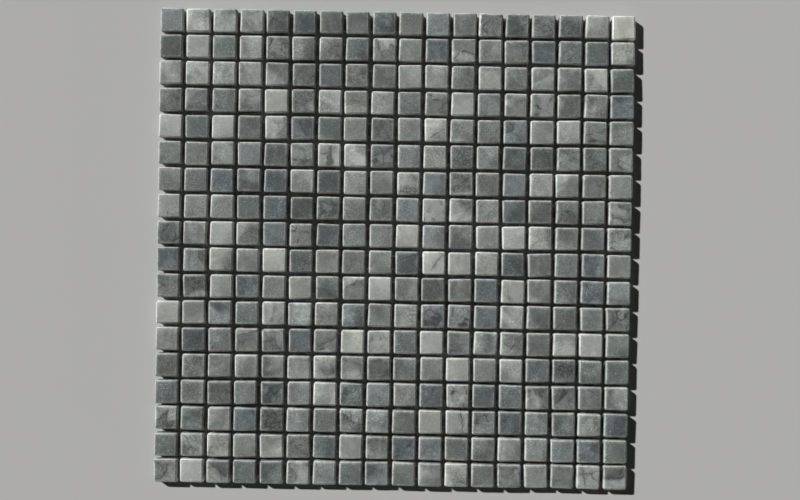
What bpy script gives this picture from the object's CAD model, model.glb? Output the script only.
"""A mosaic tile sheet: tumbled marble chips bedded on a woven net.

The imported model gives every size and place. Each row of chips is rebuilt with the uneven,
worn shapes that tumbling leaves, the net is rebuilt as woven yarns, and the resin that
bonds the two is added under every chip. All lengths are metres.
"""

import logging
import math
import random
from dataclasses import dataclass, field, replace
from enum import Enum
from typing import Any, Callable

import bpy
from mathutils import Euler, Matrix, Vector, noise


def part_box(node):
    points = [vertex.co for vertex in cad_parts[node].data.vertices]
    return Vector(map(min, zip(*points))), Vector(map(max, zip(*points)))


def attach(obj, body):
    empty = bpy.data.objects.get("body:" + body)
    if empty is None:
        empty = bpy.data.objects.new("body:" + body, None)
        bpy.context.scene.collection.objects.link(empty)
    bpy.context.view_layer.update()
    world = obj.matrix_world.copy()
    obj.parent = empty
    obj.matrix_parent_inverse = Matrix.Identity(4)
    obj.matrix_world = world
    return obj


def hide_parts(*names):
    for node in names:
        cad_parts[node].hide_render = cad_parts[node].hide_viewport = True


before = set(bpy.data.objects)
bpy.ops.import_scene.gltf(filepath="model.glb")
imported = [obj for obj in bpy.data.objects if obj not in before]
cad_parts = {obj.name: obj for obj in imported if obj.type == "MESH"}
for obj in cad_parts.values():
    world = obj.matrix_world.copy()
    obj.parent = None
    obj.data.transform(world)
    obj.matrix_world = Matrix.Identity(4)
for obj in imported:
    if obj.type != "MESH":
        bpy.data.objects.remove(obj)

MM = 0.001
TOUCHING = 0.001 * MM
BODY = "root"
SEED = 20

Colour = tuple[float, float, float]
Socket = bpy.types.NodeSocket
Node = bpy.types.Node

log = logging.getLogger("mosaic_tile_sheet")


class Wiring:
    """Adds nodes to one node tree and joins them up."""

    def __init__(self, tree: bpy.types.NodeTree) -> None:
        """Remember the tree.

        Args:
            tree: The material's or group's node tree.
        """
        self.tree = tree

    def add(self, kind: str, inputs: dict[str | int, Any] | None = None, **settings: Any) -> Node:
        """Add a node.

        Args:
            kind: The node's type name.
            inputs: Values or sockets for its inputs, by name or number.
            settings: Properties of the node itself.

        Returns:
            The new node.
        """
        node = self.tree.nodes.new(kind)
        for name, value in settings.items():
            setattr(node, name, value)
        for name, value in (inputs or {}).items():
            self.feed(node.inputs[name], value)
        return node

    def feed(self, socket: Socket, value: Any) -> None:
        """Link a socket, or set its value when the value is plain.

        Args:
            socket: The input to feed.
            value: Another node's output, or a plain value.
        """
        if isinstance(value, bpy.types.NodeSocket):
            self.tree.links.new(value, socket)
        else:
            socket.default_value = value

    def calc(self, operation: str, *values: Any, clamp: bool = False) -> Socket:
        """Add a Math node.

        Args:
            operation: The operation's name.
            values: Its operands, as sockets or numbers.
            clamp: Whether the result stays between 0 and 1.

        Returns:
            The result's socket.
        """
        inputs = dict(enumerate(values))
        return self.add("ShaderNodeMath", inputs, operation=operation, use_clamp=clamp).outputs[0]

    def vector(self, operation: str, *values: Any) -> Socket:
        """Add a Vector Math node.

        Args:
            operation: The operation's name.
            values: Its operands, as sockets or vectors.

        Returns:
            The result's socket.
        """
        inputs = dict(enumerate(values))
        return self.add("ShaderNodeVectorMath", inputs, operation=operation).outputs[0]

    def scaled(self, place: Any, factor: Any) -> Socket:
        """Multiply a vector by a number, either of which may be a socket."""
        node = self.add("ShaderNodeVectorMath", {0: place, "Scale": factor}, operation="SCALE")
        return node.outputs[0]

    def fade(self, value: Any, low: Any, high: Any, to_low: Any = 0.0, to_high: Any = 1.0) -> Socket:
        """Map a value smoothly from one range to another.

        Args:
            value: What to map.
            low: The value that becomes to_low.
            high: The value that becomes to_high.
            to_low: The result at low.
            to_high: The result at high.

        Returns:
            The mapped value's socket.
        """
        inputs = {"Value": value, "From Min": low, "From Max": high, "To Min": to_low, "To Max": to_high}
        settings = {"interpolation_type": "SMOOTHSTEP", "clamp": True}
        return self.add("ShaderNodeMapRange", inputs, **settings).outputs["Result"]

    def blend(self, share: Any, first: Any, second: Any) -> Socket:
        """Mix two colours.

        Args:
            share: How much of the second there is.
            first: The first colour.
            second: The second colour.

        Returns:
            The mixed colour's socket.
        """
        node = self.add("ShaderNodeMix", {"Factor": share}, data_type="RGBA")
        colours = [socket for socket in node.inputs if socket.type == "RGBA"]
        self.feed(colours[0], first)
        self.feed(colours[1], second)
        return next(socket for socket in node.outputs if socket.type == "RGBA")


@dataclass(frozen=True)
class ShaderEffect:
    """A shader node group that several finishes share.

    Attributes:
        name: The group's name.
        inputs: Each input's name, socket type and default value.
        output: The name of its one output.
        build: Wires the group from its inputs and returns the result's socket.
    """

    name: str
    inputs: tuple[tuple[str, str, float | None], ...]
    output: str
    build: Callable[[Wiring, dict[str, Socket]], Socket]

    def group(self) -> bpy.types.NodeTree:
        """Return the node group, building it at its first use."""
        made = bpy.data.node_groups.get(self.name)
        if made:
            return made
        tree = bpy.data.node_groups.new(self.name, "ShaderNodeTree")
        for name, kind, default in self.inputs:
            socket = tree.interface.new_socket(name, in_out="INPUT", socket_type=kind)
            if default is not None:
                socket.default_value = default
        tree.interface.new_socket(self.output, in_out="OUTPUT", socket_type="NodeSocketFloat")
        wiring = Wiring(tree)
        given = wiring.add("NodeGroupInput")
        result = self.build(wiring, {name: given.outputs[name] for name, _, _ in self.inputs})
        wiring.add("NodeGroupOutput", {self.output: result})
        return tree

    def place(self, wiring: Wiring, **values: Any) -> Socket:
        """Put the group in a material.

        Args:
            wiring: The material's wiring.
            values: The group's inputs, with underscores for spaces.

        Returns:
            The group's output socket.
        """
        node = wiring.add("ShaderNodeGroup", node_tree=self.group())
        for name, value in values.items():
            wiring.feed(node.inputs[name.replace("_", " ")], value)
        return node.outputs[self.output]


def wire_clouding(wiring: Wiring, given: dict[str, Socket]) -> Socket:
    """Wire the soft light and dark clouds of marble, drawn out along its bedding."""
    bedded = wiring.vector("MULTIPLY", given["Place"], (1.0, 0.22, 1.0))
    place = wiring.scaled(bedded, given["Scale"])
    inputs = {"Vector": place, "Scale": 1.0, "Detail": 3.0, "Distortion": 0.4}
    broad = wiring.add("ShaderNodeTexNoise", inputs)
    fine = wiring.add("ShaderNodeTexNoise", {"Vector": place, "Scale": 3.1, "Detail": 2.0})
    broad_part = wiring.calc("MULTIPLY", broad.outputs["Fac"], 0.65)
    return wiring.fade(wiring.calc("MULTIPLY_ADD", fine.outputs["Fac"], 0.35, broad_part), 0.34, 0.66)


def bed_course(wiring: Wiring, given: dict[str, Socket]) -> Socket:
    """Wire the slowly wandering field that marble's beds and the veins between them share."""
    place = wiring.scaled(given["Place"], given["Scale"])
    inputs = {"Vector": place, "Scale": 1.0, "Detail": 4.0, "Roughness": 0.42, "Distortion": 0.45}
    return wiring.add("ShaderNodeTexNoise", inputs).outputs["Fac"]


def wire_beds(wiring: Wiring, given: dict[str, Socket]) -> Socket:
    """Wire the broad pale and dark beds, with a soft boundary between them."""
    low = wiring.calc("SUBTRACT", 0.5, given["Softness"])
    return wiring.fade(bed_course(wiring, given), low, wiring.calc("ADD", 0.5, given["Softness"]))


def wire_veins(wiring: Wiring, given: dict[str, Socket]) -> Socket:
    """Wire thin veins along the beds' boundaries, which swell, thin out and stop."""
    offset = wiring.calc("ABSOLUTE", wiring.calc("SUBTRACT", bed_course(wiring, given), 0.5))
    place = wiring.scaled(given["Place"], given["Scale"])
    swell = wiring.add("ShaderNodeTexNoise", {"Vector": place, "Scale": 3.6, "Detail": 2.0})
    width = wiring.calc("MULTIPLY", given["Width"], wiring.fade(swell.outputs["Fac"], 0.4, 0.68, 0.0, 2.2))
    line = wiring.calc("DIVIDE", offset, wiring.calc("ADD", width, 0.0005))
    core = wiring.fade(line, 0.3, 1.0, 1.0, 0.0)
    halo = wiring.fade(line, 0.5, 4.0, 0.4, 0.0)
    return wiring.calc("MAXIMUM", core, halo)


def wire_fractures(wiring: Wiring, given: dict[str, Socket]) -> Socket:
    """Wire the long thin veins of marble that cracked and healed, on a slightly wavering course."""
    waver = wiring.add("ShaderNodeTexNoise", {"Vector": given["Place"], "Scale": 150.0, "Detail": 2.0})
    swing = wiring.vector("SUBTRACT", waver.outputs["Color"], (0.5, 0.5, 0.5))
    wavering = wiring.vector("ADD", given["Place"], wiring.scaled(swing, 4.2 * MM))
    place = wiring.scaled(wavering, given["Scale"])
    cells = wiring.add("ShaderNodeTexVoronoi", {"Vector": place, "Scale": 1.0}, feature="DISTANCE_TO_EDGE")
    swell = wiring.add("ShaderNodeTexNoise", {"Vector": place, "Scale": 1.9, "Detail": 2.0})
    width = wiring.calc("MULTIPLY", given["Width"], wiring.fade(swell.outputs["Fac"], 0.38, 0.62, 0.0, 1.6))
    reach = wiring.calc("MULTIPLY_ADD", width, given["Scale"], 0.0005)
    line = wiring.calc("DIVIDE", cells.outputs["Distance"], reach)
    core = wiring.fade(line, 0.3, 1.0, 1.0, 0.0)
    halo = wiring.fade(line, 0.5, 5.0, 0.42, 0.0)
    return wiring.calc("MAXIMUM", core, halo)


def wire_grain(wiring: Wiring, given: dict[str, Socket]) -> Socket:
    """Wire the stone's fine grain, which is stronger in some patches."""
    place = given["Place"]
    grain = wiring.add("ShaderNodeTexNoise", {"Vector": place, "Scale": given["Scale"], "Detail": 2.0})
    patches = wiring.add("ShaderNodeTexNoise", {"Vector": place, "Scale": 60.0, "Detail": 1.0})
    deepest = wiring.calc("MULTIPLY", given["Depth"], 2.4)
    depth = wiring.fade(patches.outputs["Fac"], 0.42, 0.66, given["Depth"], deepest)
    swing = wiring.fade(grain.outputs["Fac"], 0.34, 0.66, -1.0, 1.0)
    return wiring.calc("MULTIPLY_ADD", swing, depth, 1.0)


def wire_crystals(wiring: Wiring, given: dict[str, Socket]) -> Socket:
    """Wire the scattered bright faces of broken crystals."""
    place = wiring.scaled(given["Place"], given["Scale"])
    cells = wiring.add("ShaderNodeTexVoronoi", {"Vector": place, "Scale": 1.0, "Randomness": 1.0})
    chance = wiring.add("ShaderNodeSeparateColor", {"Color": cells.outputs["Color"]}).outputs[0]
    rarest = wiring.calc("SUBTRACT", 1.0, given["Share"])
    bright = wiring.fade(chance, rarest, wiring.calc("MULTIPLY_ADD", given["Share"], 0.6, rarest))
    core = wiring.fade(cells.outputs["Distance"], 0.15, 0.55, 1.0, 0.0)
    return wiring.calc("MULTIPLY", bright, core)


def wire_edge_wear(wiring: Wiring, given: dict[str, Socket]) -> Socket:
    """Wire the pale scuffing along a chip's edges, from how near two of its faces are."""
    place = wiring.vector("ABSOLUTE", given["Place in Chip"])
    half_size = wiring.add("ShaderNodeCombineXYZ")
    for axis, size in zip("XYZ", ("Half Side", "Half Side", "Half Thickness")):
        wiring.feed(half_size.inputs[axis], given[size])
    gap_x, gap_y, gap_z = wiring.add(
        "ShaderNodeSeparateXYZ", {0: wiring.vector("SUBTRACT", half_size.outputs[0], place)}
    ).outputs
    least, most = wiring.calc("MINIMUM", gap_x, gap_y), wiring.calc("MAXIMUM", gap_x, gap_y)
    second = wiring.calc("MAXIMUM", least, wiring.calc("MINIMUM", most, gap_z))
    where = given["Place in Block"]
    ragged = wiring.add("ShaderNodeTexNoise", {"Vector": where, "Scale": 420.0, "Detail": 3.0})
    reach = wiring.calc("MULTIPLY", given["Reach"], wiring.fade(ragged.outputs["Fac"], 0.3, 0.7, 0.8, 1.15))
    patchy = wiring.fade(ragged.outputs["Fac"], 0.3, 0.55, 0.7, 1.0)
    share = wiring.calc("DIVIDE", second, reach)
    edge = wiring.fade(share, 0.15, 0.45, 0.5, 0.0)
    shoulder = wiring.fade(share, 0.13, 1.0, 0.7, 0.0)
    worn = wiring.calc("MULTIPLY_ADD", shoulder, shoulder, edge)
    return wiring.calc("MULTIPLY", worn, patchy)


def wire_filaments(wiring: Wiring, given: dict[str, Socket]) -> Socket:
    """Wire the fine filaments of a yarn."""
    inputs = {"Vector": given["Place"], "Scale": 3400.0, "Detail": 3.0}
    streaks = wiring.add("ShaderNodeTexNoise", inputs)
    return wiring.fade(streaks.outputs["Fac"], 0.36, 0.6)


def wire_tumbled_relief(wiring: Wiring, given: dict[str, Socket]) -> Socket:
    """Wire the height of the fine dimples and pits that tumbling leaves."""
    place = given["Place"]
    inputs = {"Vector": place, "Scale": 900.0, "Detail": 4.0, "Roughness": 0.6}
    dimples = wiring.add("ShaderNodeTexNoise", inputs)
    swells = wiring.add("ShaderNodeTexNoise", {"Vector": place, "Scale": 170.0, "Detail": 1.0})
    pits = wiring.add("ShaderNodeTexNoise", {"Vector": place, "Scale": 1400.0, "Detail": 1.0})
    pitted = wiring.fade(pits.outputs["Fac"], 0.62, 0.74, 0.0, -0.8)
    rough = wiring.calc("MULTIPLY_ADD", dimples.outputs["Fac"], 0.45, pitted)
    return wiring.calc("MULTIPLY_ADD", swells.outputs["Fac"], given["Swell"], rough)


PLACE_INPUT = ("Place", "NodeSocketVector", None)
CLOUDING = ShaderEffect(
    "marble_clouding", (PLACE_INPUT, ("Scale", "NodeSocketFloat", 180.0)), "Mask", wire_clouding
)
BEDS = ShaderEffect(
    "marble_beds",
    (PLACE_INPUT, ("Scale", "NodeSocketFloat", 45.0), ("Softness", "NodeSocketFloat", 0.05)),
    "Mask",
    wire_beds,
)
VEINS = ShaderEffect(
    "marble_veins",
    (PLACE_INPUT, ("Scale", "NodeSocketFloat", 45.0), ("Width", "NodeSocketFloat", 0.008)),
    "Mask",
    wire_veins,
)
FRACTURES = ShaderEffect(
    "marble_fractures",
    (PLACE_INPUT, ("Scale", "NodeSocketFloat", 55.0), ("Width", "NodeSocketFloat", 0.3 * MM)),
    "Mask",
    wire_fractures,
)
GRAIN = ShaderEffect(
    "marble_grain",
    (PLACE_INPUT, ("Scale", "NodeSocketFloat", 1100.0), ("Depth", "NodeSocketFloat", 0.1)),
    "Factor",
    wire_grain,
)
CRYSTALS = ShaderEffect(
    "crystal_faces",
    (PLACE_INPUT, ("Scale", "NodeSocketFloat", 1500.0), ("Share", "NodeSocketFloat", 0.2)),
    "Mask",
    wire_crystals,
)
EDGE_WEAR = ShaderEffect(
    "edge_wear",
    (
        ("Place in Chip", "NodeSocketVector", None),
        ("Place in Block", "NodeSocketVector", None),
        ("Half Side", "NodeSocketFloat", 7.5 * MM),
        ("Half Thickness", "NodeSocketFloat", 3.5 * MM),
        ("Reach", "NodeSocketFloat", 3.0 * MM),
    ),
    "Mask",
    wire_edge_wear,
)
TUMBLED_RELIEF = ShaderEffect(
    "tumbled_relief", (PLACE_INPUT, ("Swell", "NodeSocketFloat", 0.6)), "Height", wire_tumbled_relief
)
FILAMENTS = ShaderEffect("yarn_filaments", (PLACE_INPUT,), "Mask", wire_filaments)


def rgba(colour: Colour) -> tuple[float, float, float, float]:
    """Return a colour with full alpha."""
    return (*colour, 1.0)


def new_material(name: str) -> tuple[bpy.types.Material, Wiring, Node]:
    """Make a material with a bare surface shader.

    Args:
        name: The material's name.

    Returns:
        The material, its wiring and its Principled shader.
    """
    material = bpy.data.materials.new(name)
    material.use_nodes = True
    material.node_tree.nodes.clear()
    wiring = Wiring(material.node_tree)
    shader = wiring.add("ShaderNodeBsdfPrincipled")
    wiring.add("ShaderNodeOutputMaterial", {"Surface": shader.outputs[0]})
    return material, wiring, shader


# Per-chip attributes that the marble finishes read.
PLACE_IN_CHIP = "place_in_chip"
PLACE_IN_BLOCK = "place_in_block"
CHIP_CHARACTER = "chip_character"
CHIP_MINERALS = "chip_minerals"

# The tints of the coolest and the warmest chips.
COOL_TINT = (0.983, 1.0, 1.026)
WARM_TINT = (1.021, 1.0, 0.968)

# Where in the block the fractures and the healed veins are read, clear of the dark veins.
FRACTURES_AT = (3.1, 1.7, 5.3)
HEALED_VEINS_AT = (7.9, 4.1, 2.2)


@dataclass(frozen=True)
class MarbleFinish:
    """The finish of chips cut from one shade of marble and tumbled.

    Attributes:
        name: The material's name.
        share: The share of the sheet's chips in this shade.
        darkest: The ground colour of its darkest chips.
        palest: The ground colour of its palest chips.
        bedding: How much the pale and dark beds differ.
        clouding: How strongly clouds darken and lighten the ground.
        graining: How strongly the fine grain shows.
        veining: How strongly veins show in a chip that has them.
        crystals: The share of crystal faces that catch the light.
        sparkle: How much paler than the ground those faces are.
        roughness: The roughness of the tumbled faces.
        vein_colour: The colour of the dark veins.
        scuff_gain: How much paler the scuffed edges are.
        scuff_reach: How far the scuffing runs in from an edge.
        translucency: How much of the light travels on under the surface.
        glow_reach: How far it travels.
        bed_scale: The number of beds in a metre.
        cloud_scale: The number of clouds in a metre.
        web_scale: The number of the web's meshes in a metre.
        web_width: The width of the web's lines, as a share of the field's swing.
        web_depth: How much of the ground's colour is left in them.
        vein_width: The width of the veins along the beds, as a share of the field's swing.
        fracture_scale: The number of fractures in a metre.
        fracture_width: The width of a fracture.
        fracture_share: How strongly fractures show against the veins along the beds.
        healed_width: The width of the pale healed veins, as a share of the field's swing.
        healed_share: How strongly they show.
        grain_scale: The number of grains in a metre.
        crystal_scale: The number of crystals in a metre.
        pit_depth: How deep the tumbled relief is.
        gloss: How strongly the tumbled faces mirror the light.
    """

    name: str
    share: float
    darkest: Colour
    palest: Colour
    bedding: float
    clouding: float
    graining: float
    veining: float
    crystals: float
    sparkle: float
    roughness: float
    vein_colour: Colour = (0.036, 0.041, 0.042)
    scuff_gain: Colour = (0.32, 0.324, 0.306)
    scuff_reach: float = 3.0 * MM
    translucency: float = 0.45
    glow_reach: float = 2.0 * MM
    bed_scale: float = 38.0
    cloud_scale: float = 140.0
    web_scale: float = 230.0
    web_width: float = 0.085
    web_depth: float = 0.36
    vein_width: float = 0.016
    fracture_scale: float = 62.0
    fracture_width: float = 0.34 * MM
    fracture_share: float = 0.85
    healed_width: float = 0.010
    healed_share: float = 0.55
    grain_scale: float = 1100.0
    crystal_scale: float = 1250.0
    pit_depth: float = 0.12 * MM
    gloss: float = 0.2

    def material(self, chip: "WornChip") -> bpy.types.Material:
        """Build the marble.

        Args:
            chip: The chip, for the sizes that edge wear is measured from.

        Returns:
            The finished material.
        """
        material, wiring, shader = new_material(self.name)
        in_chip = self.attribute(wiring, PLACE_IN_CHIP)
        in_block = self.attribute(wiring, PLACE_IN_BLOCK)
        character = wiring.add("ShaderNodeSeparateXYZ", {0: self.attribute(wiring, CHIP_CHARACTER)})
        tone, cloudiness, veininess = character.outputs
        minerals = wiring.add("ShaderNodeSeparateXYZ", {0: self.attribute(wiring, CHIP_MINERALS)})
        warmth, webbing, glitter = minerals.outputs
        tint = wiring.blend(warmth, rgba(COOL_TINT), rgba(WARM_TINT))
        ground = wiring.vector("MULTIPLY", wiring.blend(tone, rgba(self.darkest), rgba(self.palest)), tint)
        softness = wiring.calc("MULTIPLY_ADD", veininess, -0.08, 0.13)
        beds = BEDS.place(wiring, Place=in_block, Scale=self.bed_scale, Softness=softness)
        bedded = self.varied(wiring, ground, beds, wiring.calc("MULTIPLY", cloudiness, self.bedding))
        clouds = CLOUDING.place(wiring, Place=in_block, Scale=self.cloud_scale)
        clouded = self.varied(wiring, bedded, clouds, wiring.calc("MULTIPLY", cloudiness, self.clouding))
        webbed = self.webbed(wiring, clouded, in_block, wiring.fade(beds, 0.0, 1.0, webbing, 0.0))
        veined = self.veined(wiring, webbed, in_block, veininess)
        grain = GRAIN.place(wiring, Place=in_block, Scale=self.grain_scale, Depth=self.graining)
        speckled = self.speckled(wiring, wiring.scaled(veined, grain), in_block, glitter)
        worn = EDGE_WEAR.place(
            wiring,
            Place_in_Chip=in_chip,
            Place_in_Block=in_block,
            Half_Side=chip.side / 2,
            Half_Thickness=chip.thickness / 2,
            Reach=self.scuff_reach,
        )
        scuffed = wiring.vector("ADD", speckled, self.scuff_gain)
        wiring.feed(shader.inputs["Base Color"], wiring.blend(worn, speckled, scuffed))
        roughness = wiring.fade(clouds, 0.0, 1.0, self.roughness, self.roughness + 0.1)
        wiring.feed(shader.inputs["Roughness"], roughness)
        relief = TUMBLED_RELIEF.place(wiring, Place=in_block, Swell=0.6)
        bump = wiring.add("ShaderNodeBump", {"Strength": 0.5, "Distance": self.pit_depth, "Height": relief})
        wiring.feed(shader.inputs["Normal"], bump.outputs[0])
        shader.inputs["Specular IOR Level"].default_value = self.gloss
        shader.inputs["Subsurface Weight"].default_value = self.translucency
        shader.inputs["Subsurface Radius"].default_value = (1.0, 1.0, 1.0)
        shader.inputs["Subsurface Scale"].default_value = self.glow_reach
        return material

    @staticmethod
    def attribute(wiring: Wiring, name: str) -> Socket:
        """Read one of the chips' vector attributes."""
        node = wiring.add("ShaderNodeAttribute", attribute_name=name, attribute_type="GEOMETRY")
        return node.outputs["Vector"]

    @staticmethod
    def varied(wiring: Wiring, ground: Socket, mask: Socket, depth: Socket) -> Socket:
        """Darken and lighten a colour by a mask.

        Args:
            wiring: The material's wiring.
            ground: The colour to vary.
            mask: Where it is dark, at 0, and pale, at 1.
            depth: How far it swings either way.

        Returns:
            The varied colour.
        """
        dark, pale = wiring.calc("SUBTRACT", 1.0, depth), wiring.calc("ADD", 1.0, depth)
        return wiring.scaled(ground, wiring.fade(mask, 0.0, 1.0, dark, pale))

    def webbed(self, wiring: Wiring, ground: Socket, place: Socket, webbing: Socket) -> Socket:
        """Draw the fine dark web of marble that broke and healed.

        Args:
            wiring: The material's wiring.
            ground: The colour under the web.
            place: The place in the block that the chip was cut from.
            webbing: How strongly this place is webbed.

        Returns:
            The webbed colour.
        """
        web = VEINS.place(wiring, Place=place, Scale=self.web_scale, Width=self.web_width)
        strength = wiring.calc("MULTIPLY", web, webbing)
        return wiring.blend(strength, ground, wiring.scaled(ground, self.web_depth))

    def veined(self, wiring: Wiring, ground: Socket, place: Socket, veininess: Socket) -> Socket:
        """Draw the veins.

        Args:
            wiring: The material's wiring.
            ground: The colour under the veins.
            place: The place in the block that the chip was cut from.
            veininess: How strongly this chip is veined.

        Returns:
            The veined colour.
        """
        along_beds = VEINS.place(wiring, Place=place, Scale=self.bed_scale, Width=self.vein_width)
        elsewhere = wiring.vector("ADD", place, FRACTURES_AT)
        width = self.fracture_width
        across = FRACTURES.place(wiring, Place=elsewhere, Scale=self.fracture_scale, Width=width)
        drawn = wiring.calc("MAXIMUM", along_beds, wiring.calc("MULTIPLY", across, self.fracture_share))
        strength = wiring.calc("MULTIPLY", wiring.calc("MULTIPLY", drawn, veininess), self.veining)
        dark = wiring.blend(strength, ground, rgba(self.vein_colour))
        farther = wiring.vector("ADD", place, HEALED_VEINS_AT)
        healed = VEINS.place(wiring, Place=farther, Scale=self.bed_scale, Width=self.healed_width)
        pale = wiring.vector("ADD", wiring.scaled(dark, 1.25), (0.03, 0.03, 0.03))
        return wiring.blend(wiring.calc("MULTIPLY", healed, self.healed_share), dark, pale)

    def speckled(self, wiring: Wiring, ground: Socket, place: Socket, glitter: Socket) -> Socket:
        """Scatter the bright crystal faces.

        Args:
            wiring: The material's wiring.
            ground: The colour between them.
            place: The place in the block that the chip was cut from.
            glitter: How many faces this chip has against the others.

        Returns:
            The speckled colour.
        """
        share = wiring.calc("MULTIPLY", glitter, self.crystals)
        faces = CRYSTALS.place(wiring, Place=place, Scale=self.crystal_scale, Share=share)
        glint = wiring.scaled(ground, 1.0 + self.sparkle)
        return wiring.blend(faces, ground, wiring.vector("ADD", glint, (0.04, 0.04, 0.04)))


class MarbleShade(Enum):
    """The shades of marble that the sheet mixes, each with its finish."""

    SLATE = MarbleFinish(
        name="slate_marble",
        share=0.20,
        darkest=(0.096, 0.112, 0.112),
        palest=(0.134, 0.154, 0.146),
        bedding=0.28,
        clouding=0.16,
        graining=0.12,
        veining=0.95,
        crystals=0.20,
        sparkle=1.1,
        roughness=0.58,
    )
    GREY = MarbleFinish(
        name="grey_marble",
        share=0.385,
        darkest=(0.136, 0.152, 0.148),
        palest=(0.200, 0.217, 0.206),
        bedding=0.33,
        clouding=0.18,
        graining=0.115,
        veining=1.0,
        crystals=0.17,
        sparkle=0.7,
        roughness=0.60,
    )
    PALE = MarbleFinish(
        name="pale_marble",
        share=0.275,
        darkest=(0.197, 0.211, 0.201),
        palest=(0.274, 0.288, 0.269),
        bedding=0.31,
        clouding=0.16,
        graining=0.095,
        veining=1.0,
        crystals=0.13,
        sparkle=0.4,
        roughness=0.60,
    )
    WHITE = MarbleFinish(
        name="white_marble",
        share=0.14,
        darkest=(0.275, 0.291, 0.274),
        palest=(0.381, 0.395, 0.373),
        bedding=0.18,
        clouding=0.09,
        graining=0.05,
        veining=0.85,
        crystals=0.10,
        sparkle=0.2,
        roughness=0.56,
    )

    @staticmethod
    def draw(rng: random.Random) -> "MarbleShade":
        """Draw a chip's shade by the shades' shares.

        Args:
            rng: The sheet's random draws.

        Returns:
            The shade.
        """
        shades = list(MarbleShade)
        return rng.choices(shades, [shade.value.share for shade in shades])[0]


@dataclass(frozen=True)
class SheetGrid:
    """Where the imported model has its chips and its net.

    Attributes:
        rows: The nodes of the rows, front to back.
        panels: The nodes of the net's panels.
        side: The side of a chip.
        pitch: The distance between two chips' centres.
        low: The lowest corner of all the chips.
        high: The highest corner of all the chips.
        net_low: The lowest corner of the net.
        net_high: The highest corner of the net.
    """

    rows: tuple[str, ...]
    panels: tuple[str, ...]
    side: float
    pitch: float
    low: Vector
    high: Vector
    net_low: Vector
    net_high: Vector

    @classmethod
    def from_frame(cls) -> "SheetGrid":
        """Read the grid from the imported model's boxes."""
        rows = tuple(sorted(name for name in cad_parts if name.startswith("chip_row_")))
        panels = tuple(sorted(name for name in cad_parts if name.startswith("net_panel_")))
        first, second, last = (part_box(rows[index]) for index in (0, 1, -1))
        return cls(
            rows,
            panels,
            side=first[1].y - first[0].y,
            pitch=second[0].y - first[0].y,
            low=first[0],
            high=last[1],
            net_low=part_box(panels[0])[0],
            net_high=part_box(panels[-1])[1],
        )

    @property
    def across(self) -> int:
        """The number of chips in a row."""
        return round((self.high.x - self.low.x + self.pitch - self.side) / self.pitch)

    def centre(self, column: int, row: int) -> Vector:
        """Return a chip's centre.

        Args:
            column: The chip's number along its row.
            row: The row's number from the front.

        Returns:
            The centre of its solid.
        """
        x = self.low.x + self.side / 2 + column * self.pitch
        y = self.low.y + self.side / 2 + row * self.pitch
        return Vector((x, y, (self.low.z + self.high.z) / 2))


def deselect_all() -> None:
    """Deselect every object."""
    bpy.ops.object.select_all(action="DESELECT")


def join_pieces(pieces: list[bpy.types.Object], name: str) -> bpy.types.Object:
    """Join several pieces into one.

    Args:
        pieces: The pieces to join.
        name: The joined piece's name.

    Returns:
        The joined piece.
    """
    deselect_all()
    for piece in pieces:
        piece.select_set(True)
    bpy.context.view_layer.objects.active = pieces[0]
    bpy.ops.object.join()
    joined = bpy.context.object
    joined.name = joined.data.name = name
    return joined


def select_edges(piece: bpy.types.Object, wanted: Callable[[Vector, Vector], bool]) -> None:
    """Select the edges that pass a test, and leave edit mode's selection ready for an operator.

    Args:
        piece: The object, in edit mode.
        wanted: The test of an edge's two ends.
    """
    bpy.ops.mesh.select_mode(type="EDGE")
    bpy.ops.mesh.select_all(action="DESELECT")
    bpy.ops.object.mode_set(mode="OBJECT")
    mesh = piece.data
    for edge in mesh.edges:
        first, last = (mesh.vertices[index].co for index in edge.vertices)
        edge.select = wanted(first, last)
    bpy.ops.object.mode_set(mode="EDIT")


def level_at(height: float) -> Callable[[Vector, Vector], bool]:
    """Return a test for edges that lie level at a height."""
    return lambda first, last: abs(first.z - height) + abs(last.z - height) < TOUCHING


# How far tumbled chips stray: each pair is a middle and a spread, or a least and a most.
WIDTH_SHARE = (1.012, 0.012)
LENGTH_SHARE = (1.020, 0.012)
THICKNESS_SHARE = (0.95, 1.0)
ROUNDING_IN_MM = (0.18, 0.18)
SHIFT_IN_MM = (0.0, 0.16)
TILT_IN_DEGREES = 0.25
TURN_IN_DEGREES = 0.7


@dataclass(frozen=True)
class ChipHabit:
    """How tumbling has altered one chip.

    Attributes:
        stretch: Its size along X, Y and Z against the nominal one.
        rounding: How far each of its four corners is worn in.
        lean: Its small turn in its bed.
        shift: Its small shift in its bed.
        seed: Where its own unevenness is read from.
    """

    stretch: Vector
    rounding: tuple[float, float, float, float]
    lean: Matrix
    shift: Vector
    seed: Vector

    @classmethod
    def draw(cls, rng: random.Random) -> "ChipHabit":
        """Draw a chip's habit.

        Args:
            rng: The sheet's random draws.

        Returns:
            The habit.
        """
        width, length = rng.gauss(*WIDTH_SHARE), rng.gauss(*LENGTH_SHARE)
        stretch = Vector((width, length, rng.uniform(*THICKNESS_SHARE)))
        rounding = tuple(max(0.0, rng.gauss(*ROUNDING_IN_MM)) * MM for _ in range(4))
        tilt, turn = math.radians(TILT_IN_DEGREES), math.radians(TURN_IN_DEGREES)
        lean = Euler((rng.gauss(0, tilt), rng.gauss(0, tilt), rng.gauss(0, turn))).to_matrix()
        shift = Vector((rng.gauss(*SHIFT_IN_MM), rng.gauss(*SHIFT_IN_MM), 0.0)) * MM
        seed = Vector([rng.uniform(0, 100) for _ in range(3)])
        return cls(stretch, rounding, lean, shift, seed)


@dataclass(frozen=True)
class Trait:
    """A marking that is strong in some chips and faint in the others.

    Attributes:
        share: The share of chips in which it is strong.
        strong: The least and the most that it shows in those.
        faint: The least and the most that it shows in the others.
    """

    share: float
    strong: tuple[float, float]
    faint: tuple[float, float]

    def draw(self, rng: random.Random) -> float:
        """Draw how strongly one chip shows it."""
        return rng.uniform(*(self.strong if rng.random() < self.share else self.faint))


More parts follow.
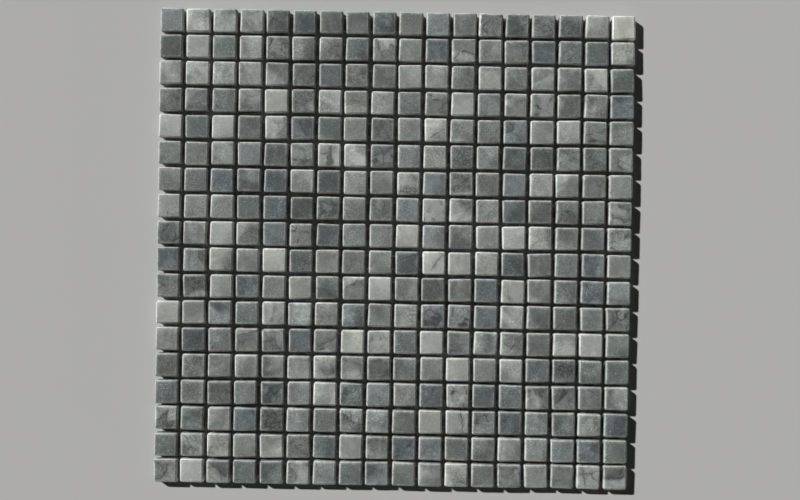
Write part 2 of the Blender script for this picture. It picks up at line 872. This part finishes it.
CLOUDY = Trait(share=0.22, strong=(1.0, 1.4), faint=(0.45, 1.0))
VEINED = Trait(share=0.28, strong=(0.5, 0.9), faint=(0.0, 0.15))
WEBBED = Trait(share=0.16, strong=(0.4, 0.85), faint=(0.0, 0.1))
GLITTER = (0.5, 1.5)


@dataclass(frozen=True)
class ChipMarking:
    """How the marble of one chip is marked.

    Attributes:
        turn: How the chip lay in the block that it was cut from.
        cut_from: Where it lay in the block.
        character: Its tone, cloudiness and veininess.
        minerals: Its warmth, webbing and glitter.
        shade: Its shade of marble.
    """

    turn: Matrix
    cut_from: Vector
    character: Vector
    minerals: Vector
    shade: MarbleShade

    @classmethod
    def draw(cls, rng: random.Random) -> "ChipMarking":
        """Draw a chip's markings.

        Args:
            rng: The sheet's random draws.

        Returns:
            The markings.
        """
        turn = Euler([rng.uniform(0, math.tau) for _ in range(3)]).to_matrix()
        cut_from = Vector([rng.uniform(-1, 1) for _ in range(3)])
        cloudy, veined, webbed = (trait.draw(rng) for trait in (CLOUDY, VEINED, WEBBED))
        character = Vector((rng.random(), cloudy, veined))
        minerals = Vector((rng.random(), webbed, rng.uniform(*GLITTER)))
        return cls(turn, cut_from, character, minerals, MarbleShade.draw(rng))


# Where a worn edge's wandering along X, Y and Z is read from, so that the three differ.
WANDER_ASIDE = (Vector((0.0, 0.0, 0.0)), Vector((17.3, 5.1, 9.7)), Vector((41.9, 23.4, 31.2)))


@dataclass
class WornChip:
    """One tumbled chip, modelled once and worn anew for every place.

    Attributes:
        side: The nominal side.
        thickness: The nominal thickness.
        corner_radius: The radius of the upright corners.
        edge_radius: The radius round the top face.
        shoulder: How far the worn shoulder runs in from the chip's sides.
        shoulder_rise: How far it rises on its way.
        crown: How far the low crown of the face runs in from the shoulder.
        crown_rise: How far it rises on its way.
        foot_bevel: The bevel round the underside.
        unevenness: How far a worn edge wanders.
        wander_scale: The number of times that it wanders in a metre.
        blank: The chip before it is worn, once it is modelled.
    """

    side: float
    thickness: float
    corner_radius: float = 1.3 * MM
    edge_radius: float = 0.95 * MM
    shoulder: float = 1.9 * MM
    shoulder_rise: float = 0.38 * MM
    crown: float = 1.4 * MM
    crown_rise: float = 0.07 * MM
    foot_bevel: float = 0.6 * MM
    unevenness: float = 0.16 * MM
    wander_scale: float = 190.0
    blank: bpy.types.Object | None = field(default=None, init=False)

    def build_blank(self) -> bpy.types.Object:
        """Model the chip before it is worn: a block with bevelled edges and a crowned face."""
        deselect_all()
        rise = self.shoulder_rise + self.crown_rise
        size = (self.side, self.side, self.thickness - rise)
        bpy.ops.mesh.primitive_cube_add(size=1.0, location=(0, 0, -rise / 2), scale=size)
        blank = bpy.context.object
        blank.name = "chip_blank"
        bpy.ops.object.transform_apply(location=True, rotation=True, scale=True)
        rim, foot = self.thickness / 2 - rise, -self.thickness / 2
        bpy.ops.object.mode_set(mode="EDIT")
        select_edges(blank, level_at(rim))
        bpy.ops.mesh.select_mode(type="FACE")
        bpy.ops.mesh.inset(thickness=self.shoulder, depth=self.shoulder_rise)
        bpy.ops.mesh.inset(thickness=self.crown, depth=self.crown_rise)
        select_edges(blank, lambda a, b: abs(a.z - b.z) > rim)
        bpy.ops.mesh.bevel(offset=self.corner_radius, segments=2, affect="EDGES")
        select_edges(blank, level_at(rim))
        bpy.ops.mesh.bevel(offset=self.edge_radius, segments=2, affect="EDGES")
        select_edges(blank, level_at(foot))
        bpy.ops.mesh.bevel(offset=self.foot_bevel, segments=1, affect="EDGES")
        bpy.ops.object.mode_set(mode="OBJECT")
        bpy.ops.object.shade_smooth()
        self.blank = blank
        return blank

    def worn_place(self, place: Vector, habit: ChipHabit) -> Vector:
        """Return where tumbling leaves one point of the chip.

        Args:
            place: The point on the blank.
            habit: The chip's habit.

        Returns:
            The point on the worn chip.
        """
        corner = (1 if place.x > 0 else 0) + (2 if place.y > 0 else 0)
        reach_x, reach_y = abs(place.x) * 2 / self.side, abs(place.y) * 2 / self.side
        squeeze = habit.rounding[corner] * (reach_x * reach_y) ** 4
        inward = Vector((-math.copysign(squeeze, place.x), -math.copysign(squeeze, place.y), 0))
        at = place * self.wander_scale + habit.seed
        wander = Vector([noise.noise(at + aside) for aside in WANDER_ASIDE]) * self.unevenness
        wander.z = min(wander.z, 0.0) * 0.4 if place.z > 0 else 0.0
        worn = place + inward + wander
        worn = Vector([size * stretch for size, stretch in zip(worn, habit.stretch)])
        return habit.lean @ worn + habit.shift

    def make(self, centre: Vector, habit: ChipHabit, low: Vector, high: Vector) -> bpy.types.Object:
        """Make one worn chip.

        Args:
            centre: The centre of its place in the sheet.
            habit: The chip's habit.
            low: The lowest corner that the chip may reach.
            high: The highest corner that the chip may reach.

        Returns:
            The chip, with its place in the sheet in its mesh.
        """
        chip = bpy.data.objects.new("chip", self.blank.data.copy())
        bpy.context.collection.objects.link(chip)
        nominal = [vertex.co.copy() for vertex in chip.data.vertices]
        worn = [centre + self.worn_place(place, habit) for place in nominal]
        drop = min(place.z for place in worn) - low.z
        for axis in range(2):
            over = max(place[axis] for place in worn) - high[axis]
            under = low[axis] - min(place[axis] for place in worn)
            back = max(under, 0.0) - max(over, 0.0)
            for place in worn:
                place[axis] += back
        for vertex, place in zip(chip.data.vertices, worn):
            place.z = min(place.z - drop, high.z)
            vertex.co = place
        self.record(chip.data, PLACE_IN_CHIP, nominal)
        return chip

    @staticmethod
    def record(mesh: bpy.types.Mesh, name: str, values: list[Vector]) -> None:
        """Keep a vector for each of a mesh's points.

        Args:
            mesh: The mesh.
            name: The attribute's name.
            values: One vector for each point.
        """
        attribute = mesh.attributes.new(name, "FLOAT_VECTOR", "POINT")
        attribute.data.foreach_set("vector", [part for value in values for part in value])


@dataclass
class ChipField:
    """All the sheet's chips, one piece for each row.

    Attributes:
        grid: Where the chips are.
        chip: The chip they are all copied from.
        rng: The sheet's random draws.
        materials: The marble of each shade, once it is built.
    """

    grid: SheetGrid
    chip: WornChip
    rng: random.Random
    materials: dict[MarbleShade, bpy.types.Material] = field(default_factory=dict)

    def build(self) -> list[bpy.types.Object]:
        """Build every row and dress it."""
        self.chip.build_blank()
        self.materials = {shade: shade.value.material(self.chip) for shade in MarbleShade}
        rows = [self.build_row(number, node) for number, node in enumerate(self.grid.rows)]
        bpy.data.objects.remove(self.chip.blank)
        return rows

    def build_row(self, number: int, node: str) -> bpy.types.Object:
        """Build one row of worn chips.

        Args:
            number: The row's number from the front.
            node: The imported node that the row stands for.

        Returns:
            The row as one piece.
        """
        centres = [self.grid.centre(column, number) for column in range(self.grid.across)]
        chips = [self.build_chip(centre) for centre in centres]
        row = join_pieces(chips, node.replace("chip_row", "tumbled_row"))
        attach(row, BODY)
        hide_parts(node)
        return row

    def build_chip(self, centre: Vector) -> bpy.types.Object:
        """Build one worn chip with its own shade and markings.

        Args:
            centre: The centre of its place in the sheet.

        Returns:
            The chip.
        """
        chip = self.chip.make(centre, ChipHabit.draw(self.rng), self.grid.low, self.grid.high)
        marking = ChipMarking.draw(self.rng)
        nominal = [Vector(point.vector) for point in chip.data.attributes[PLACE_IN_CHIP].data]
        in_block = [marking.turn @ place + marking.cut_from for place in nominal]
        self.chip.record(chip.data, PLACE_IN_BLOCK, in_block)
        self.chip.record(chip.data, CHIP_CHARACTER, [marking.character] * len(nominal))
        self.chip.record(chip.data, CHIP_MINERALS, [marking.minerals] * len(nominal))
        chip.data.materials.append(self.materials[marking.shade])
        return chip


@dataclass(frozen=True)
class YarnFinish:
    """The finish of resin-coated glass yarn.

    Attributes:
        name: The material's name.
        run: How far its filaments are drawn out along each axis, as a share of their length.
        colour: The yarn's colour.
        groove: The darker colour between its filaments.
    """

    name: str
    run: tuple[float, float, float]
    colour: Colour = (0.74, 0.74, 0.70)
    groove: Colour = (0.46, 0.46, 0.42)

    def material(self) -> bpy.types.Material:
        """Build the yarn's material."""
        material, wiring, shader = new_material(self.name)
        place = wiring.add("ShaderNodeTexCoord").outputs["Object"]
        mask = FILAMENTS.place(wiring, Place=wiring.vector("MULTIPLY", place, self.run))
        colour = wiring.blend(mask, rgba(self.groove), rgba(self.colour))
        wiring.feed(shader.inputs["Base Color"], colour)
        wiring.feed(shader.inputs["Roughness"], wiring.fade(mask, 0.0, 1.0, 0.55, 0.35))
        bump = wiring.add("ShaderNodeBump", {"Strength": 0.6, "Distance": 0.05 * MM, "Height": mask})
        wiring.feed(shader.inputs["Normal"], bump.outputs[0])
        return material


class Yarns(Enum):
    """The net's yarns by the way they run, each with its finish."""

    WEFT = YarnFinish("weft_yarn", (0.08, 1.0, 1.0))
    WARP = YarnFinish("warp_yarn", (1.0, 0.08, 1.0))


@dataclass(frozen=True)
class ResinFinish:
    """The finish of the milky resin that bonds the chips to the net.

    Attributes:
        name: The material's name.
        thin: The colour where the film is thin.
        thick: The colour where it has pooled.
    """

    name: str = "bonding_resin"
    thin: Colour = (0.24, 0.235, 0.205)
    thick: Colour = (0.44, 0.43, 0.38)

    def material(self) -> bpy.types.Material:
        """Build the resin's material."""
        material, wiring, shader = new_material(self.name)
        place = wiring.add("ShaderNodeTexCoord").outputs["Object"]
        pools = wiring.add("ShaderNodeTexNoise", {"Vector": place, "Scale": 240.0, "Detail": 3.0})
        mask = wiring.fade(pools.outputs["Fac"], 0.35, 0.65)
        wiring.feed(shader.inputs["Base Color"], wiring.blend(mask, rgba(self.thin), rgba(self.thick)))
        wiring.feed(shader.inputs["Roughness"], wiring.fade(mask, 0.0, 1.0, 0.35, 0.18))
        bump = wiring.add("ShaderNodeBump", {"Strength": 0.5, "Distance": 0.08 * MM, "Height": mask})
        wiring.feed(shader.inputs["Normal"], bump.outputs[0])
        return material


@dataclass(frozen=True)
class Strand:
    """One kind of strand in the net.

    Attributes:
        kind: Its yarn.
        axis: The axis that it runs along, 0 for X and 1 for Y.
        width: The width of its section.
        thickness: The thickness of its section.
        sides: The sides of its section.
        steps: Its straight runs in one crossing.
        sway: How far it winds sideways.
        rise: How far it winds up and down.
        start: Where its winding starts, in radians.
    """

    kind: Yarns
    axis: int
    width: float
    thickness: float
    sides: int
    steps: int
    sway: float = 0.0
    rise: float = 0.0
    start: float = 0.0

    @property
    def run(self) -> Vector:
        """The way that it runs."""
        return Vector([float(index == self.axis) for index in range(3)])

    @property
    def side(self) -> Vector:
        """The way across it."""
        return Vector([float(index == 1 - self.axis) for index in range(3)])

    def offset(self, step: int) -> Vector:
        """Return how far it stands off its middle line at the end of a step."""
        turn = math.tau * (step / self.steps - 0.5) + self.start
        return self.side * self.sway * math.sin(turn) + Vector((0, 0, self.rise * math.cos(turn)))


@dataclass
class WovenNet:
    """The net: flat weft strands, each held between two warp yarns twisted together.

    Attributes:
        grid: Where the net's panels are.
        strands_per_chip: The strands under each chip, each way.
        weft_width: The width of a flat weft strand.
        weft_thickness: The thickness of a weft strand.
        warp_width: The width of one warp yarn.
        warp_thickness: The thickness of one warp yarn.
        warp_sway: How far a warp yarn stands off the middle of its pair.
    """

    grid: SheetGrid
    strands_per_chip: int = 2
    weft_width: float = 1.15 * MM
    weft_thickness: float = 0.15 * MM
    warp_width: float = 0.55 * MM
    warp_thickness: float = 0.16 * MM
    warp_sway: float = 0.30 * MM

    @property
    def pitch(self) -> float:
        """The distance between two strands' centres."""
        return self.grid.pitch / self.strands_per_chip

    @property
    def strands(self) -> tuple[Strand, ...]:
        """The kinds of strand: the weft, and the two yarns of a warp pair."""
        rise = (self.grid.net_high.z - self.grid.net_low.z - self.warp_thickness) / 2
        weft = Strand(Yarns.WEFT, 0, self.weft_width, self.weft_thickness, sides=6, steps=2)
        straight = Strand(Yarns.WARP, 1, self.warp_width, self.warp_thickness, sides=5, steps=4)
        warp = replace(straight, sway=self.warp_sway, rise=rise)
        return weft, warp, replace(warp, start=math.pi)

    def build(self) -> bpy.types.Object:
        """Build the net as one piece in place of its panels."""
        materials = {yarns: yarns.value.material() for yarns in Yarns}
        rows = []
        for strand in self.strands:
            rows.append(self.lay(strand))
            rows[-1].data.materials.append(materials[strand.kind])
        net = join_pieces(rows, "woven_net")
        bpy.ops.object.mode_set(mode="EDIT")
        bpy.ops.mesh.select_all(action="SELECT")
        bpy.ops.mesh.normals_make_consistent(inside=False)
        bpy.ops.object.mode_set(mode="OBJECT")
        bpy.ops.object.shade_smooth_by_angle(angle=math.radians(60))
        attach(net, BODY)
        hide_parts(*self.grid.panels)
        return net

    def lay(self, strand: Strand) -> bpy.types.Object:
        """Model one strand of the net and repeat it across.

        Args:
            strand: The kind of strand.

        Returns:
            All the strands of this kind.
        """
        low, high = self.grid.net_low, self.grid.net_high
        count = Vector((self.grid.across, len(self.grid.rows), 0)) * self.strands_per_chip
        along, across = round(count.dot(strand.run)), round(count.dot(strand.side))
        back = (strand.run * along + strand.side * (across - 1)) * self.pitch / 2
        first = (low + high) / 2 - back
        step = strand.run * self.pitch / strand.steps
        deselect_all()
        facing = (0, math.pi / 2, 0) if strand.axis == 0 else (math.pi / 2, 0, 0)
        bpy.ops.mesh.primitive_circle_add(
            vertices=strand.sides, radius=0.5, location=first + strand.offset(0), rotation=facing
        )
        piece = bpy.context.object
        bpy.ops.object.transform_apply(location=False, rotation=True, scale=False)
        piece.scale = strand.side * strand.width + strand.run + Vector((0, 0, strand.thickness))
        bpy.ops.object.transform_apply(location=True, rotation=True, scale=True)
        bpy.ops.object.mode_set(mode="EDIT")
        bpy.ops.mesh.select_all(action="SELECT")
        for number in range(strand.steps):
            move = step + strand.offset(number + 1) - strand.offset(number)
            bpy.ops.mesh.extrude_region_move(TRANSFORM_OT_translate={"value": move})
        bpy.ops.object.mode_set(mode="OBJECT")
        self.repeat(piece, strand.run * self.pitch, along, merge=True)
        bpy.ops.object.mode_set(mode="EDIT")
        for end, outwards in ((low, -strand.run), (high, strand.run)):
            bpy.ops.mesh.select_all(action="SELECT")
            bpy.ops.mesh.bisect(plane_co=end, plane_no=outwards, use_fill=True, clear_outer=True)
        bpy.ops.object.mode_set(mode="OBJECT")
        self.repeat(piece, strand.side * self.pitch, across, merge=False)
        return piece

    @staticmethod
    def repeat(piece: bpy.types.Object, step: Vector, count: int, merge: bool) -> None:
        """Repeat a piece in a row.

        Args:
            piece: The active piece.
            step: The way from one copy to the next.
            count: The number of copies.
            merge: Whether the copies' touching points become one.
        """
        array = piece.modifiers.new("row", "ARRAY")
        array.count = count
        array.use_relative_offset = False
        array.use_constant_offset = True
        array.constant_offset_displace = step
        array.use_merge_vertices = merge
        array.merge_threshold = 0.01 * MM
        bpy.ops.object.modifier_apply(modifier=array.name)


@dataclass
class ResinPads:
    """The film of resin under every chip, with the net sunk into it.

    Attributes:
        grid: Where the chips are.
        rng: The sheet's random draws.
        spread: The width of a pad.
        depth: The thickness of a pad.
        sides: The sides of a pad's outline.
        raggedness: How far its outline wanders.
        wander_scale: The number of times that it wanders in a metre.
    """

    grid: SheetGrid
    rng: random.Random
    spread: float = 11.5 * MM
    depth: float = 0.2 * MM
    sides: int = 20
    raggedness: float = 1.7 * MM
    wander_scale: float = 210.0

    def build(self) -> bpy.types.Object:
        """Build all the pads as one piece."""
        blank = self.build_blank()
        places = [(column, row) for row in range(len(self.grid.rows)) for column in range(self.grid.across)]
        pads = [self.pad(blank, self.grid.centre(column, row)) for column, row in places]
        bpy.data.objects.remove(blank)
        resin = join_pieces(pads, "resin_pads")
        bpy.ops.object.shade_smooth()
        resin.data.materials.append(ResinFinish().material())
        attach(resin, BODY)
        return resin

    def build_blank(self) -> bpy.types.Object:
        """Model one pad: a thin disc whose underside is drawn in."""
        deselect_all()
        size = {"radius": self.spread / 2, "depth": self.depth}
        bpy.ops.mesh.primitive_cylinder_add(vertices=self.sides, **size)
        blank = bpy.context.object
        bpy.ops.object.mode_set(mode="EDIT")
        select_edges(blank, level_at(-self.depth / 2))
        bpy.ops.mesh.bevel(offset=self.depth * 0.9, segments=1, affect="EDGES")
        bpy.ops.object.mode_set(mode="OBJECT")
        return blank

    def pad(self, blank: bpy.types.Object, centre: Vector) -> bpy.types.Object:
        """Make one pad with its own outline.

        Args:
            blank: The pad they are all copied from.
            centre: The centre of its chip.

        Returns:
            The pad, with its place in the sheet in its mesh.
        """
        pad = bpy.data.objects.new("pad", blank.data.copy())
        bpy.context.collection.objects.link(pad)
        seed = Vector([self.rng.uniform(0, 100) for _ in range(3)])
        size = self.rng.uniform(0.85, 1.05)
        seat = Vector((centre.x, centre.y, self.grid.low.z - self.depth / 2))
        for vertex in pad.data.vertices:
            flat = Vector((vertex.co.x, vertex.co.y, 0.0)) * size
            wander = noise.noise(flat * self.wander_scale + seed) * self.raggedness
            outward = flat.normalized() * wander
            vertex.co = seat + flat + outward + Vector((0, 0, vertex.co.z))
        return pad


@dataclass(frozen=True)
class Studio:
    """The floor, the lights and the camera.

    Attributes:
        floor_colour: The plain floor's colour.
        floor_roughness: The floor's roughness.
        floor_size: The side of the floor.
        sun_travel: The way the key light travels.
        sun_strength: The key light's strength.
        sun_softness: The key light's spread, which softens its shadows.
        fill_travel: The way the low fill light travels.
        fill_strength: The fill light's strength.
        fill_softness: The fill light's spread.
        sky_strength: The even light from all round.
        camera_place: The camera's place.
        camera_turn: The camera's tilt, lean and roll in degrees.
        lens: The camera's focal length in millimetres.
    """

    floor_colour: Colour = (0.456, 0.453, 0.447)
    floor_roughness: float = 0.85
    floor_size: float = 6.0
    sun_travel: tuple[float, float, float] = (7.8, -5.5, -7.0)
    sun_strength: float = 4.7
    sun_softness: float = math.radians(3.0)
    fill_travel: tuple[float, float, float] = (-7.2, 5.5, -0.2)
    fill_strength: float = 1.0
    fill_softness: float = math.radians(10.0)
    sky_strength: float = 0.012
    camera_place: tuple[float, float, float] = (3.06 * MM, 7.09 * MM, 620.7 * MM)
    camera_turn: tuple[float, float, float] = (-0.686, -0.056, 1.012)
    lens: float = 43.015

    def build(self) -> None:
        """Build the studio."""
        self.build_floor()
        self.build_lights()
        self.build_camera()

    def build_floor(self) -> None:
        """Lay the plain pale floor."""
        deselect_all()
        bpy.ops.mesh.primitive_plane_add(size=self.floor_size)
        floor = bpy.context.object
        floor.name = "floor"
        material, wiring, shader = new_material("pale_floor")
        wiring.feed(shader.inputs["Base Color"], rgba(self.floor_colour))
        wiring.feed(shader.inputs["Roughness"], self.floor_roughness)
        wiring.feed(shader.inputs["Specular IOR Level"], 0.0)
        floor.data.materials.append(material)

    def build_lights(self) -> None:
        """Hang the key light, a low fill light and an even sky."""
        self.hang_lamp("key_light", self.sun_travel, self.sun_strength, self.sun_softness)
        self.hang_lamp("fill_light", self.fill_travel, self.fill_strength, self.fill_softness)
        world = bpy.data.worlds.new("studio_sky")
        world.use_nodes = True
        wiring = Wiring(world.node_tree)
        world.node_tree.nodes.clear()
        rays = wiring.add("ShaderNodeLightPath").outputs
        mirrored = wiring.calc("MAXIMUM", rays["Is Glossy Ray"], rays["Is Transmission Ray"])
        seen = wiring.calc("MAXIMUM", rays["Is Camera Ray"], mirrored)
        strength = wiring.fade(seen, 0.0, 1.0, self.sky_strength, 1.0)
        sky = wiring.add("ShaderNodeBackground", {"Color": (1.0, 1.0, 1.0, 1.0), "Strength": strength})
        wiring.add("ShaderNodeOutputWorld", {"Surface": sky.outputs[0]})
        bpy.context.scene.world = world

    @staticmethod
    def hang_lamp(name: str, travel: tuple[float, float, float], strength: float, softness: float) -> None:
        """Hang a distant lamp.

        Args:
            name: The lamp's name.
            travel: The way its light travels.
            strength: Its strength.
            softness: Its spread, which softens its shadows.
        """
        sun = bpy.data.lights.new(name, "SUN")
        sun.energy = strength
        sun.angle = softness
        lamp = bpy.data.objects.new(name, sun)
        lamp.rotation_euler = Vector(travel).to_track_quat("-Z", "Y").to_euler()
        bpy.context.collection.objects.link(lamp)

    def build_camera(self) -> None:
        """Set the camera to look down on the sheet."""
        camera = bpy.data.cameras.new("camera")
        camera.lens = self.lens
        holder = bpy.data.objects.new("camera", camera)
        holder.location = self.camera_place
        holder.rotation_euler = [math.radians(angle) for angle in self.camera_turn]
        bpy.context.collection.objects.link(holder)
        bpy.context.scene.camera = holder
        bpy.context.scene.view_settings.view_transform = "Standard"


def main() -> None:
    """Build the sheet around the frame and report each piece."""
    logging.basicConfig(level=logging.INFO, format="%(message)s")
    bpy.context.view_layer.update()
    grid = SheetGrid.from_frame()
    chip = WornChip(side=grid.side, thickness=grid.high.z - grid.low.z)
    for row in ChipField(grid, chip, random.Random(SEED)).build():
        log.info("%s: %d faces", row.name, len(row.data.polygons))
    for backing in (WovenNet(grid).build(), ResinPads(grid, random.Random(SEED)).build()):
        log.info("%s: %d faces", backing.name, len(backing.data.polygons))
    Studio().build()


if __name__ == "__main__":
    main()
